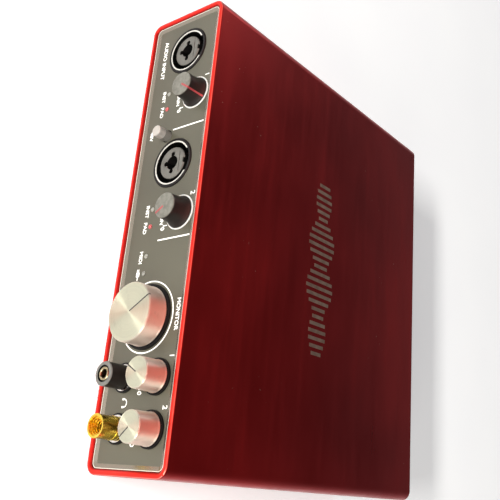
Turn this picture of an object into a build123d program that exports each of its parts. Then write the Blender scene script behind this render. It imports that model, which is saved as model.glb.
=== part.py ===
"""Two-channel desktop audio interface: red extruded case, grey control panel, five rotary
controls, two combination input sockets, two headphone outputs with plug adapters fitted.

Frame: millimetres, +Z up, the front panel faces -Y.  The origin is the centre of the whole
object's footprint, at the surface that the feet stand on.  Places on the panels are given as
(across, up): the distance from the case's left end, seen from the front, and the height above
the underside of the case.
"""
from build123d import *
import math
import os

os.makedirs("parts", exist_ok=True)

# ---------------------------------------------------------------- driving dimensions
CASE_WIDTH = 210.0
CASE_HEIGHT = 46.0
CASE_DEPTH = 182.0
CASE_CORNER = 5.0
CASE_WALL = 2.4
FOOT_HEIGHT = 2.5
FRONT_REACH = 10.0      # the adapters stand this far in front of the case's front edge
REAR_REACH = 9.0        # the coaxial sockets stand this far behind the case

PANEL_RECESS = 1.6      # panel face behind the case's front edge
PANEL_THICK = 3.0
PANEL_GAP = 0.3         # all round, between the panel and the case
PANEL_BORDER = 1.75     # width of the panel's border, which slopes up towards the case
PANEL_RIDGE = 0.15      # flat top of the border
PANEL_RISE = 0.7        # height of the border above the panel face
REAR_THICK = 2.0

SHAFT_R = 3.0           # shared by all five controls
SHAFT_FLAT = 2.2        # distance of the D flat from the shaft's axis
RUNNING = 0.05          # radial clearance of every shaft, pin and plug in its bore
PLUG_R = 3.15           # quarter-inch plug
BUSHING_R = 3.5

# places on the front panel (across, up)
CHANNEL_PITCH = 57.7
INPUTS = [(20.6 + n * CHANNEL_PITCH, 24.8) for n in range(2)]
GAINS = [(45.5 + n * CHANNEL_PITCH, 33.75) for n in range(2)]
INSTRUMENT_LEDS = [(41.4 + n * CHANNEL_PITCH, 16.2) for n in range(2)]
PAD_LEDS = [(49.3 + n * CHANNEL_PITCH, 16.2) for n in range(2)]
STATUS_LEDS = [(120.5, 16.3), (128.3, 16.3)]
PHANTOM = (63.9, 18.9)
MONITOR = (147.4, 22.35)
PHONES_KNOBS = [(172.1, 33.3), (192.1, 33.3)]
PHONES_JACKS = [(172.1, 14.5), (192.1, 14.5)]

# where each pointer stands, in degrees clockwise from the top
GAIN_TURNS = [34.0, 148.0]
MONITOR_TURN = -31.0
PHONES_TURNS = [-150.0, 138.0]

# places on the rear panel (across, up)
LINE_JACKS = [(193.5 - n * 15.0, 17.0) for n in range(6)]
COAX_SOCKETS = [(105.0, 14.5), (105.0, 31.0)]
MIDI_SOCKETS = [(87.5, 18.0), (65.0, 18.0)]
USB_SOCKET = (45.5, 13.4)
POWER_SWITCH = (29.0, 20.0)
DC_INLET = (15.0, 13.6)
LOCK_SLOT = (15.0, 33.0)

# circuit boards
BOARD_UNDER = 6.0       # underside of the main board above the case's underside
BOARD_THICK = 1.6
BOARD_TOP = BOARD_UNDER + BOARD_THICK
CONTROLS_BEHIND = 3.3   # front of the control bodies, behind the panel face
FRONT_BOARD_BEHIND = 9.8

RIM_Y = FRONT_REACH - (FRONT_REACH + CASE_DEPTH + REAR_REACH) / 2
BACK_Y = RIM_Y + CASE_DEPTH
PANEL_Y = RIM_Y + PANEL_RECESS
INNER_WIDTH = CASE_WIDTH - 2 * CASE_WALL
INNER_HEIGHT = CASE_HEIGHT - 2 * CASE_WALL
CASE_MIDDLE = (CASE_WIDTH / 2, CASE_HEIGHT / 2)


# ---------------------------------------------------------------- planes and helpers
def part_x(across):
    return across - CASE_WIDTH / 2


def part_z(up):
    return up + FOOT_HEIGHT


def front_plane(place, height=0.0, turn=0.0):
    """Faces the viewer in front: local z is the height above the panel face.

    With a turn, local y points in that direction, clockwise from the top.
    """
    angle = math.radians(turn)
    return Plane(
        origin=(part_x(place[0]), PANEL_Y - height, part_z(place[1])),
        x_dir=(math.cos(angle), 0, -math.sin(angle)),
        z_dir=(0, -1, 0),
    )


def rear_plane(place, height=0.0):
    """Faces the viewer behind: local x runs towards the case's left end, local z outwards."""
    return Plane(
        origin=(part_x(place[0]), BACK_Y + height, part_z(place[1])),
        x_dir=(-1, 0, 0),
        z_dir=(0, 1, 0),
    )


def front_section(place):
    """Half-section plane of a turned part on the panel: local x is radius, local y is height."""
    return Plane(
        origin=(part_x(place[0]), PANEL_Y, part_z(place[1])),
        x_dir=(1, 0, 0),
        z_dir=(0, 0, -1),
    )


def front_axis(place):
    return Axis((part_x(place[0]), PANEL_Y, part_z(place[1])), (0, -1, 0))


def side_section(across):
    """Vertical fore-and-aft section: local x runs to the rear, local y up."""
    return Plane(origin=(part_x(across), 0, 0), x_dir=(0, 1, 0), z_dir=(1, 0, 0))


def finish(builder, name):
    builder.part.label = name
    export_step(builder.part, f"parts/{name}.step")


# ---------------------------------------------------------------- case
BOSS_R = 2.6
BOSS_INSET = 2.6        # screw boss axes from the case's inner walls
SCREW_R = 1.2
BOSSES = [
    (CASE_WIDTH / 2 + side * (INNER_WIDTH / 2 - BOSS_INSET),
     CASE_HEIGHT / 2 + lift * (INNER_HEIGHT / 2 - BOSS_INSET))
    for side in (-1, 1)
    for lift in (-1, 1)
]
BOSS_FRONT = PANEL_RECESS + PANEL_THICK
RAIL_FRONT = 18.0       # rails and main board start here, behind the case's front edge
RAIL_WIDTH = 7.6
RAIL_THICK = 1.6
RAIL_GRIP = 0.1         # clearance of the board between its rails
INNER_CHAMFER = (0.9, 0.6)
OUTER_ROUND = 0.9

with BuildPart() as case_sleeve:
    with BuildSketch(front_plane(CASE_MIDDLE, PANEL_RECESS)):
        RectangleRounded(CASE_WIDTH, CASE_HEIGHT, CASE_CORNER)
        RectangleRounded(INNER_WIDTH, INNER_HEIGHT, CASE_CORNER - CASE_WALL, mode=Mode.SUBTRACT)
    extrude(amount=-CASE_DEPTH)
    front_face = case_sleeve.faces().sort_by(Axis.Y)[0]
    chamfer(front_face.inner_wires()[0].edges(), *INNER_CHAMFER, reference=front_face)
    front_face = case_sleeve.faces().sort_by(Axis.Y)[0]
    fillet(front_face.outer_wire().edges(), OUTER_ROUND)
    # a screw boss runs along each inside corner, and a pair of rails along each side
    boss_length = CASE_DEPTH - BOSS_FRONT - REAR_THICK
    with BuildSketch(front_plane((0, 0), PANEL_RECESS - BOSS_FRONT)):
        for across, up in BOSSES:
            side = math.copysign(BOSS_INSET / 2, across - CASE_WIDTH / 2)
            lift = math.copysign(BOSS_INSET / 2, up - CASE_HEIGHT / 2)
            with Locations((across, up)):
                Circle(BOSS_R)
            with Locations((across + side, up)):
                Rectangle(BOSS_INSET, 2 * BOSS_R)
            with Locations((across, up + lift)):
                Rectangle(2 * BOSS_R, BOSS_INSET)
    extrude(amount=-boss_length)
    with BuildSketch(front_plane((0, 0), PANEL_RECESS - RAIL_FRONT)):
        for across in (CASE_WALL + RAIL_WIDTH / 2, CASE_WIDTH - CASE_WALL - RAIL_WIDTH / 2):
            with Locations(
                (across, BOARD_UNDER - RAIL_THICK / 2),
                (across, BOARD_TOP + RAIL_GRIP + RAIL_THICK / 2),
            ):
                Rectangle(RAIL_WIDTH, RAIL_THICK)
    extrude(amount=-(CASE_DEPTH - RAIL_FRONT - REAR_THICK))
    with BuildSketch(front_plane((0, 0), PANEL_RECESS - BOSS_FRONT)):
        with Locations(*BOSSES):
            Circle(SCREW_R)
    extrude(amount=-boss_length, mode=Mode.SUBTRACT)
finish(case_sleeve, "case_sleeve")

FOOT_R = 7.0
FOOT_INSET = 16.0
FOOT_BEVEL = 0.6
with BuildPart() as rubber_feet:
    with BuildSketch(Plane.XY):
        with GridLocations(CASE_WIDTH - 2 * FOOT_INSET, CASE_DEPTH - 2 * FOOT_INSET, 2, 2):
            with Locations((0, (RIM_Y + BACK_Y) / 2)):
                Circle(FOOT_R)
    extrude(amount=FOOT_HEIGHT)
    chamfer(rubber_feet.faces().group_by(Axis.Z)[0].edges(), FOOT_BEVEL)
finish(rubber_feet, "rubber_feet")

# ---------------------------------------------------------------- front panel
PANEL_WIDTH = INNER_WIDTH - 2 * PANEL_GAP
PANEL_HEIGHT = INNER_HEIGHT - 2 * PANEL_GAP
PANEL_CORNER = CASE_CORNER - CASE_WALL
FLAT_CORNER = 1.0       # corners of the flat face inside the border
SHELL_R = 11.7          # combination socket body
SHELL_FIT = 0.1
HALO_R = 7.85
HALO_BODY_R = 7.5
LENS_R = 1.05
BUTTON_R = 2.6
BUTTON_GAP = 0.35
JACK_BUSHING_R = 5.35

with BuildPart() as front_panel:
    with BuildSketch(front_plane(CASE_MIDDLE, PANEL_RISE)):
        RectangleRounded(PANEL_WIDTH, PANEL_HEIGHT, PANEL_CORNER)
    extrude(amount=-(PANEL_RISE + PANEL_THICK))
    # the face is sunk inside a sloping border
    inset = PANEL_RIDGE + PANEL_BORDER
    with BuildSketch(front_plane(CASE_MIDDLE)):
        RectangleRounded(PANEL_WIDTH - 2 * inset, PANEL_HEIGHT - 2 * inset, FLAT_CORNER)
    with BuildSketch(front_plane(CASE_MIDDLE, PANEL_RISE)):
        RectangleRounded(
            PANEL_WIDTH - 2 * PANEL_RIDGE, PANEL_HEIGHT - 2 * PANEL_RIDGE,
            PANEL_CORNER - PANEL_RIDGE,
        )
    loft(mode=Mode.SUBTRACT)
    with BuildSketch(front_plane((0, 0))):
        for places, radius in (
            (INPUTS, SHELL_R + SHELL_FIT),
            (GAINS, HALO_BODY_R),
            (INSTRUMENT_LEDS + PAD_LEDS + STATUS_LEDS, LENS_R),
            ([PHANTOM], BUTTON_R + BUTTON_GAP),
            ([MONITOR] + PHONES_KNOBS, BUSHING_R),
            (PHONES_JACKS, JACK_BUSHING_R),
        ):
            with Locations(*places):
                Circle(radius)
    extrude(amount=-PANEL_THICK, mode=Mode.SUBTRACT)
finish(front_panel, "front_panel")

# ---------------------------------------------------------------- combination input sockets
SHELL_PROUD = 0.5
SHELL_LENGTH = 30.0
SHELL_FLOOR = 2.0
SHELL_BEVEL = 0.3
GROOVE_R = 9.75         # outside of the groove that a three-pin plug's barrel enters
GROOVE_DEPTH = 13.0
INSERT_R = 7.5
RING_R = 10.4           # thin metal earth ring, seen as a bright line
RING_BELOW = 0.1        # its edge below the socket's face
INSERT_BELOW = 0.3
INSERT_BEVEL = 0.4
JACK_BORE_R = 3.25
JACK_BORE_DEPTH = 27.0
CONTACT_HOLE_R = 1.15
CONTACT_HOLES = [(-4.1, 0), (4.1, 0), (0, -3.85)]
CONTACT_HOLE_DEPTH = 12.0
KEYWAY_WIDTH = 10.6
KEY_NOTCH = (2.4, 1.1)  # width and depth of the notch in the insert's top edge
FLAT_LINE_AT = 4.3      # a fine straight groove crosses the insert's face above the bore
FLAT_LINE = (10.2, 0.3)
FLAT_LINE_DEPTH = 0.25
CONTACT_LEG = 0.9
CONTACT_OUT = 3.0       # the contacts leave the back of the socket by this much

for number, place in enumerate(INPUTS, start=1):
    with BuildPart() as input_shell:
        with BuildSketch(front_plane(place, SHELL_PROUD)):
            Circle(SHELL_R)
        extrude(amount=-SHELL_LENGTH)
        chamfer(input_shell.faces().sort_by(Axis.Y)[0].edges(), SHELL_BEVEL)
        with BuildSketch(front_plane(place, SHELL_PROUD)):
            Circle(RING_R)
        extrude(amount=-GROOVE_DEPTH, mode=Mode.SUBTRACT)
        with BuildSketch(front_plane(place, SHELL_PROUD)):
            Circle(INSERT_R)
        extrude(amount=-(SHELL_LENGTH - SHELL_FLOOR), mode=Mode.SUBTRACT)
    finish(input_shell, f"input_{number}_shell")

    with BuildPart() as input_ring:
        with BuildSketch(front_plane(place, SHELL_PROUD - GROOVE_DEPTH)):
            Circle(RING_R)
            Circle(GROOVE_R, mode=Mode.SUBTRACT)
            # the ring is open at the top, where the plug's key enters
            with Locations((0, RING_R)):
                Rectangle(KEYWAY_WIDTH, RING_R, mode=Mode.SUBTRACT)
        extrude(amount=GROOVE_DEPTH - RING_BELOW)
    finish(input_ring, f"input_{number}_earth_ring")

    with BuildPart() as input_insert:
        insert_length = SHELL_LENGTH - SHELL_FLOOR
        with BuildSketch(front_plane(place, SHELL_PROUD - insert_length)):
            Circle(INSERT_R)
        extrude(amount=insert_length - INSERT_BELOW)
        chamfer(input_insert.faces().sort_by(Axis.Y)[0].edges(), INSERT_BEVEL)
        insert_top = SHELL_PROUD - INSERT_BELOW
        with BuildSketch(front_plane(place, insert_top)):
            Circle(JACK_BORE_R)
        extrude(amount=-JACK_BORE_DEPTH, mode=Mode.SUBTRACT)
        # three contact holes open into the jack bore, and a notch for the plug's key cuts the top
        with BuildSketch(front_plane(place, insert_top)):
            with Locations(*CONTACT_HOLES):
                Circle(CONTACT_HOLE_R)
            with Locations((0, INSERT_R)):
                Rectangle(KEY_NOTCH[0], 2 * KEY_NOTCH[1])
        extrude(amount=-CONTACT_HOLE_DEPTH, mode=Mode.SUBTRACT)
        with BuildSketch(front_plane(place, insert_top)):
            with Locations((0, FLAT_LINE_AT)):
                Rectangle(*FLAT_LINE)
        extrude(amount=-FLAT_LINE_DEPTH, mode=Mode.SUBTRACT)
    finish(input_insert, f"input_{number}_insert")

with BuildPart() as input_contacts:
    back_height = SHELL_PROUD - SHELL_LENGTH
    for across, up in INPUTS:
        for offset in (-5.0, 0.0, 5.0):
            place = (across + offset, up)
            reach = CONTACT_OUT + CONTACT_LEG
            with BuildSketch(front_plane(place, back_height)):
                Rectangle(CONTACT_LEG, CONTACT_LEG)
            extrude(amount=-reach)
            leg_length = up - BOARD_TOP
            with BuildSketch(front_plane((place[0], up - leg_length / 2), back_height - CONTACT_OUT)):
                Rectangle(CONTACT_LEG, leg_length)
            extrude(amount=-CONTACT_LEG)
finish(input_contacts, "input_contacts")

# ---------------------------------------------------------------- knobs
KNOB_GAP = 0.4          # between a knob's skirt and the ring it covers
HALO_PROUD = 0.4
COLLAR_THICK = 0.9
POINTER_DEPTH = 0.35
POINTER_PROUD = 0.04
SHAFT_INNER = -8.0      # inner end of every shaft, as a height above the panel face
SHAFT_IN_CROWN = 1.2    # the shaft goes this far into the knob above the cavity
HUB_RAISED = 0.6        # the hub stops short of the skirt's edge
LIP_OUT = 0.2           # a turned lip runs round the foot of each silver knob
LIP_HEIGHT = 0.3
LIP_SLOPE = 0.3

GAIN_TOP = 9.3
GAIN_BOTTOM = HALO_PROUD + KNOB_GAP
GAIN_BASE_R = 7.15
GAIN_FLARE = [(6.05, 3.4), (5.77, 6.2)]     # the side's outline between skirt and face
GAIN_FACE_R = 5.65
GAIN_EDGE = 0.45        # rounding of the face's edge
GAIN_POINTER = 0.85
HALO_ROUND = 0.25
COLLAR_ROUND = 0.3
SHAFT_END_GAP = 0.4     # behind the inner end of a shaft or plunger


def gain_profile(grow):
    """Flared outline of a gain knob as (radius, height), moved outwards by grow."""
    with BuildLine() as outline:
        Line((0, GAIN_BOTTOM), (GAIN_BASE_R + grow, GAIN_BOTTOM))
        Spline(
            (GAIN_BASE_R + grow, GAIN_BOTTOM),
            *[(radius + grow, height) for radius, height in GAIN_FLARE],
            (GAIN_FACE_R + grow, GAIN_TOP - GAIN_EDGE),
        )
        RadiusArc(
            (GAIN_FACE_R + grow, GAIN_TOP - GAIN_EDGE),
            (GAIN_FACE_R - GAIN_EDGE, GAIN_TOP + grow),
            -GAIN_EDGE - grow,
        )
        Line((GAIN_FACE_R - GAIN_EDGE, GAIN_TOP + grow), (0, GAIN_TOP + grow))
        Line((0, GAIN_TOP + grow), (0, GAIN_BOTTOM))
    return outline.line


def turned_profile(bottom, top, base_r, face_r, edge, grow):
    """Outline of a turned metal knob with a bevelled face, moved outwards by grow."""
    with BuildLine() as outline:
        Polyline(
            (0, bottom),
            (base_r + LIP_OUT + grow, bottom),
            (base_r + LIP_OUT + grow, bottom + LIP_HEIGHT),
            (base_r + grow, bottom + LIP_HEIGHT + LIP_SLOPE),
            (face_r + grow, top - edge),
            (face_r - edge + grow, top + grow),
            (0, top + grow),
            close=True,
        )
    return outline.line


def build_knob(name, place, turn, profile, top, bottom, wall, cavity_top, hub_r, pointer):
    """A hollow knob with a central hub on a D shaft, and its inlaid pointer.

    pointer is (width, inner radius, outer radius, how far down the side it runs).
    """
    width, start, end, drop = pointer
    with BuildPart() as inlay:
        with BuildSketch(front_section(place)):
            with BuildLine():
                add(profile(POINTER_PROUD))
            make_face()
            with BuildLine():
                add(profile(-POINTER_DEPTH))
            make_face(mode=Mode.SUBTRACT)
        revolve(axis=front_axis(place))
        with BuildSketch(front_plane(place, top - drop, turn)):
            with Locations((0, (start + end) / 2)):
                Rectangle(width, end - start)
        extrude(amount=drop + 1, mode=Mode.INTERSECT)
    finish(inlay, f"{name}_pointer")

    shaft_top = cavity_top + SHAFT_IN_CROWN
    with BuildPart() as knob:
        with BuildSketch(front_section(place)):
            with BuildLine():
                add(profile(0))
            make_face()
        revolve(axis=front_axis(place))
        with BuildSketch(front_plane(place, bottom)):
            Circle(wall)
            Circle(hub_r, mode=Mode.SUBTRACT)
        extrude(amount=cavity_top - bottom, mode=Mode.SUBTRACT)
        with BuildSketch(front_plane(place, bottom)):
            Circle(hub_r)
        extrude(amount=HUB_RAISED, mode=Mode.SUBTRACT)
        with BuildSketch(front_plane(place, bottom, turn)):
            Circle(SHAFT_R)
            with Locations((0, SHAFT_FLAT + SHAFT_R)):
                Rectangle(2 * SHAFT_R, 2 * SHAFT_R, mode=Mode.SUBTRACT)
        extrude(amount=shaft_top - bottom, mode=Mode.SUBTRACT)
        add(inlay.part, mode=Mode.SUBTRACT)
    finish(knob, f"{name}_knob")

    hub_bottom = bottom + HUB_RAISED
    with BuildPart() as shaft:
        with BuildSketch(front_plane(place, SHAFT_INNER)):
            Circle(SHAFT_R)
        extrude(amount=shaft_top - SHAFT_INNER)
        with BuildSketch(front_plane(place, hub_bottom, turn)):
            with Locations((0, SHAFT_FLAT + SHAFT_R)):
                Rectangle(2 * SHAFT_R, 2 * SHAFT_R)
        extrude(amount=shaft_top - hub_bottom, mode=Mode.SUBTRACT)
    finish(shaft, f"{name}_shaft")


for number, (place, turn) in enumerate(zip(GAINS, GAIN_TURNS), start=1):
    build_knob(
        f"gain_{number}", place, turn, gain_profile,
        top=GAIN_TOP, bottom=GAIN_BOTTOM, wall=4.9, cavity_top=6.6, hub_r=4.2,
        pointer=(GAIN_POINTER, 0.6, GAIN_BASE_R + 1, GAIN_TOP - GAIN_BOTTOM),
    )
    with BuildPart() as gain_halo:
        with BuildSketch(front_plane(place, -PANEL_THICK)):
            Circle(HALO_BODY_R)
        extrude(amount=PANEL_THICK)
        with BuildSketch(front_plane(place)):
            Circle(HALO_R)
        extrude(amount=HALO_PROUD)
        fillet(gain_halo.faces().sort_by(Axis.Y)[0].edges(), HALO_ROUND)
        with BuildSketch(front_plane(place, HALO_PROUD)):
            Circle(BUSHING_R)
        extrude(amount=-(PANEL_THICK + HALO_PROUD), mode=Mode.SUBTRACT)
    finish(gain_halo, f"gain_{number}_halo")

MONITOR_BOTTOM = COLLAR_THICK + KNOB_GAP
MONITOR_TOP = 10.0
MONITOR_R = 12.35
MONITOR_EDGE = 0.45
MONITOR_COLLAR_R = 13.8


def monitor_profile(grow):
    return turned_profile(MONITOR_BOTTOM, MONITOR_TOP, MONITOR_R, MONITOR_R, MONITOR_EDGE, grow)


build_knob(
    "monitor", MONITOR, MONITOR_TURN, monitor_profile,
    top=MONITOR_TOP, bottom=MONITOR_BOTTOM, wall=10.8, cavity_top=7.4, hub_r=5.0,
    pointer=(0.55, 0.3, MONITOR_R + 1, 1.0),
)

PHONES_BOTTOM = COLLAR_THICK + KNOB_GAP
PHONES_TOP = 11.2
PHONES_BASE_R = 6.35
PHONES_FACE_R = 6.2
PHONES_EDGE = 0.35
PHONES_COLLAR_R = 7.35


def phones_profile(grow):
    return turned_profile(
        PHONES_BOTTOM, PHONES_TOP, PHONES_BASE_R, PHONES_FACE_R, PHONES_EDGE, grow
    )


for number, (place, turn) in enumerate(zip(PHONES_KNOBS, PHONES_TURNS), start=1):
    build_knob(
        f"phones_{number}", place, turn, phones_profile,
        top=PHONES_TOP, bottom=PHONES_BOTTOM, wall=5.3, cavity_top=8.0, hub_r=4.2,
        pointer=(0.5, 0.3, PHONES_BASE_R + 1, 1.0),
    )


# a black ring on the panel face lies under each silver knob
with BuildPart() as monitor_collar:
    with BuildSketch(front_plane(MONITOR)):
        Circle(MONITOR_COLLAR_R)
        Circle(BUSHING_R, mode=Mode.SUBTRACT)
    extrude(amount=COLLAR_THICK)
    fillet(monitor_collar.faces().sort_by(Axis.Y)[0].outer_wire().edges(), COLLAR_ROUND)
finish(monitor_collar, "monitor_collar")

with BuildPart() as phones_collars:
    with BuildSketch(front_plane((0, 0))):
        with Locations(*PHONES_KNOBS):
            Circle(PHONES_COLLAR_R)
            Circle(BUSHING_R, mode=Mode.SUBTRACT)
    extrude(amount=COLLAR_THICK)
finish(phones_collars, "phones_collars")

CONTROL_SIZE = 11.0
CONTROL_CORNER = 0.8
CONTROL_DEPTH = FRONT_BOARD_BEHIND - CONTROLS_BEHIND
BUSHING_TOP = 0.7
with BuildPart() as potentiometers:
    with BuildSketch(front_plane((0, 0), -CONTROLS_BEHIND)):
        with Locations(*GAINS, MONITOR, *PHONES_KNOBS):
            RectangleRounded(CONTROL_SIZE, CONTROL_SIZE, CONTROL_CORNER)
    extrude(amount=-CONTROL_DEPTH)
    with BuildSketch(front_plane((0, 0), -CONTROLS_BEHIND)):
        with Locations(*GAINS, MONITOR, *PHONES_KNOBS):
            Circle(BUSHING_R)
    extrude(amount=CONTROLS_BEHIND + BUSHING_TOP)
    with BuildSketch(front_plane((0, 0), BUSHING_TOP)):
        with Locations(*GAINS, MONITOR, *PHONES_KNOBS):
            Circle(SHAFT_R + RUNNING)
    extrude(amount=-(BUSHING_TOP - SHAFT_INNER + SHAFT_END_GAP), mode=Mode.SUBTRACT)
finish(potentiometers, "potentiometers")

# ---------------------------------------------------------------- phantom power button and lamps
BUTTON_TOP = 6.9
BUTTON_TRAVEL = 1.5
BUTTON_EDGE = 0.45
STEM_TOP = 3.2
STEM_SHOULDER = -1.3
PLUNGER_R = 1.5
PLUNGER_END = -6.2
SWITCH_SIZE = 5.0

with BuildPart() as phantom_button_cap:
    with BuildSketch(front_plane(PHANTOM, STEM_TOP)):
        Circle(BUTTON_R)
    extrude(amount=BUTTON_TOP - STEM_TOP)
    fillet(phantom_button_cap.faces().sort_by(Axis.Y)[0].edges(), BUTTON_EDGE)
finish(phantom_button_cap, "phantom_button_cap")

with BuildPart() as phantom_button_stem:
    with BuildSketch(front_plane(PHANTOM, STEM_SHOULDER)):
        Circle(BUTTON_R - RUNNING)
    extrude(amount=STEM_TOP - STEM_SHOULDER)
    with BuildSketch(front_plane(PHANTOM, STEM_SHOULDER)):
        Circle(PLUNGER_R)
    extrude(amount=PLUNGER_END - STEM_SHOULDER)
finish(phantom_button_stem, "phantom_button_stem")

with BuildPart() as phantom_switch:
    with BuildSketch(front_plane(PHANTOM, -CONTROLS_BEHIND)):
        Rectangle(SWITCH_SIZE, SWITCH_SIZE)
    extrude(amount=-CONTROL_DEPTH)
    with BuildSketch(front_plane(PHANTOM, -CONTROLS_BEHIND)):
        Circle(PLUNGER_R + RUNNING)
    plunger_room = CONTROLS_BEHIND + PLUNGER_END - BUTTON_TRAVEL - SHAFT_END_GAP
    extrude(amount=plunger_room, mode=Mode.SUBTRACT)
finish(phantom_switch, "phantom_switch")

LENS_PROUD = 0.3
LENS_ROUND = 0.25
for name, places in (
    ("clear_led_lenses", INSTRUMENT_LEDS + STATUS_LEDS),
    ("red_led_lenses", PAD_LEDS),
):
    with BuildPart() as lenses:
        with BuildSketch(front_plane((0, 0), -FRONT_BOARD_BEHIND)):
            with Locations(*places):
                Circle(LENS_R)
        extrude(amount=FRONT_BOARD_BEHIND + LENS_PROUD)
        fillet(lenses.faces().group_by(Axis.Y)[0].edges(), LENS_ROUND)
    finish(lenses, name)

# ---------------------------------------------------------------- headphone jacks
JACK_WIDTH = 12.0
JACK_RISE = 6.0         # top of a jack's body above its axis
JACK_DEPTH = 33.0
JACK_FLOOR = 2.0        # closed end of every quarter-inch jack
JACK_BUSHING_TOP = 1.4
JACK_NUT_R = 6.1
JACK_NUT_TOP = 1.1

for number, place in enumerate(PHONES_JACKS, start=1):
    with BuildPart() as phones_jack:
        body_height = place[1] + JACK_RISE - BOARD_TOP
        with BuildSketch(front_plane((place[0], BOARD_TOP + body_height / 2), -CONTROLS_BEHIND)):
            Rectangle(JACK_WIDTH, body_height)
        extrude(amount=-JACK_DEPTH)
        with BuildSketch(front_plane(place, -CONTROLS_BEHIND)):
            Circle(JACK_BUSHING_R)
        extrude(amount=CONTROLS_BEHIND + JACK_BUSHING_TOP)
        with BuildSketch(front_plane(place, JACK_BUSHING_TOP)):
            Circle(PLUG_R + RUNNING)
        bore_depth = JACK_BUSHING_TOP + CONTROLS_BEHIND + JACK_DEPTH - JACK_FLOOR
        extrude(amount=-bore_depth, mode=Mode.SUBTRACT)
    finish(phones_jack, f"phones_{number}_jack")

with BuildPart() as phones_jack_nuts:
    with BuildSketch(front_plane((0, 0))):
        with Locations(*PHONES_JACKS):
            Circle(JACK_NUT_R)
            Circle(JACK_BUSHING_R, mode=Mode.SUBTRACT)
    extrude(amount=JACK_NUT_TOP)
finish(phones_jack_nuts, "phones_jack_nuts")

# ---------------------------------------------------------------- plug adapters
ADAPTER_BOTTOM = 1.9
ADAPTER_TOP = FRONT_REACH + PANEL_RECESS
BLACK_R = 4.95
GOLD_R = 4.7
LINER_R = 2.8
SMALL_BORE_R = 1.8
SMALL_BORE_DEPTH = 9.0
PLUG_LENGTH = 30.5
PLUG_SHANK_R = 2.0      # the part of the plug that the barrel holds
PLUG_SHANK = 0.8
PLUG_BANDS = [(15.5, 17.0), (20.5, 22.0)]   # insulating bands, along the plug from its root
BAND_DEPTH = 0.12
TIP_NECK_R = 1.9
MOUTH_R = 3.4           # recess around the liner's mouth
MOUTH_DEPTH = 0.8


def plug_outline(bottom):
    """Three-contact plug as (radius, height): shank in the barrel, sleeve, ring and ball tip."""
    tip_end = bottom - PLUG_LENGTH
    bands = []
    for near, far in PLUG_BANDS:
        bands += [
            (PLUG_R, bottom - near),
            (PLUG_R - BAND_DEPTH, bottom - near),
            (PLUG_R - BAND_DEPTH, bottom - far),
            (PLUG_R, bottom - far),
        ]
    with BuildLine() as outline:
        Polyline(
            (0, bottom + PLUG_SHANK),
            (PLUG_SHANK_R, bottom + PLUG_SHANK),
            (PLUG_SHANK_R, bottom),
            (PLUG_R, bottom),
            *bands,
            (PLUG_R, bottom - 23.5),
            (TIP_NECK_R, tip_end + 4.8),
            (PLUG_R - 0.35, tip_end + 2.6),
            (1.0, tip_end),
            (0, tip_end),
            close=True,
        )
    return outline.line


for name, place in (("black", PHONES_JACKS[0]), ("gold", PHONES_JACKS[1])):
    with BuildPart() as adapter_plug:
        with BuildSketch(front_section(place)):
            with BuildLine():
                add(plug_outline(ADAPTER_BOTTOM))
            make_face()
        revolve(axis=front_axis(place))
    finish(adapter_plug, f"{name}_adapter_plug")

with BuildPart() as black_adapter_barrel:
    place = PHONES_JACKS[0]
    with BuildSketch(front_plane(place, ADAPTER_BOTTOM)):
        Circle(BLACK_R)
    extrude(amount=ADAPTER_TOP - ADAPTER_BOTTOM)
    fillet(black_adapter_barrel.faces().sort_by(Axis.Y)[0].edges(), 0.6)
    chamfer(black_adapter_barrel.faces().sort_by(Axis.Y)[-1].edges(), 0.3)
    with BuildSketch(front_plane(place, ADAPTER_TOP)):
        Circle(MOUTH_R)
    extrude(amount=-MOUTH_DEPTH, mode=Mode.SUBTRACT)
    with BuildSketch(front_plane(place, ADAPTER_TOP)):
        Circle(LINER_R)
    extrude(amount=-(SMALL_BORE_DEPTH - 0.1), mode=Mode.SUBTRACT)
    with BuildSketch(front_plane(place, ADAPTER_BOTTOM)):
        Circle(PLUG_SHANK_R)
    extrude(amount=PLUG_SHANK, mode=Mode.SUBTRACT)
finish(black_adapter_barrel, "black_adapter_barrel")

with BuildPart() as black_adapter_liner:
    place = PHONES_JACKS[0]
    with BuildSketch(front_plane(place, ADAPTER_TOP - 0.1)):
        Circle(LINER_R)
        Circle(SMALL_BORE_R, mode=Mode.SUBTRACT)
    extrude(amount=-(SMALL_BORE_DEPTH - 0.2))
    liner_face = black_adapter_liner.faces().sort_by(Axis.Y)[0]
    chamfer(liner_face.edges(), 0.25)
finish(black_adapter_liner, "black_adapter_liner")

GOLD_RIM = 0.9
GOLD_COLLAR = 2.0
GOLD_WAIST = 0.12       # the barrel between rim and collar is thinner by this much
GOLD_FUNNEL_R = 4.0
with BuildPart() as gold_adapter_barrel:
    place = PHONES_JACKS[1]
    with BuildSketch(front_section(place)):
        with BuildLine():
            Polyline(
                (GOLD_FUNNEL_R, ADAPTER_TOP),
                (GOLD_R, ADAPTER_TOP),
                (GOLD_R, ADAPTER_TOP - GOLD_RIM),
                (GOLD_R - GOLD_WAIST, ADAPTER_TOP - GOLD_RIM - GOLD_WAIST),
                (GOLD_R - GOLD_WAIST, ADAPTER_BOTTOM + GOLD_COLLAR + GOLD_WAIST),
                (GOLD_R, ADAPTER_BOTTOM + GOLD_COLLAR),
                (GOLD_R, ADAPTER_BOTTOM),
                (PLUG_SHANK_R, ADAPTER_BOTTOM),
                (PLUG_SHANK_R, ADAPTER_BOTTOM + PLUG_SHANK),
                (GOLD_FUNNEL_R, ADAPTER_BOTTOM + PLUG_SHANK),
                close=True,
            )
        make_face()
    revolve(axis=front_axis(place))
finish(gold_adapter_barrel, "gold_adapter_barrel")

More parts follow.
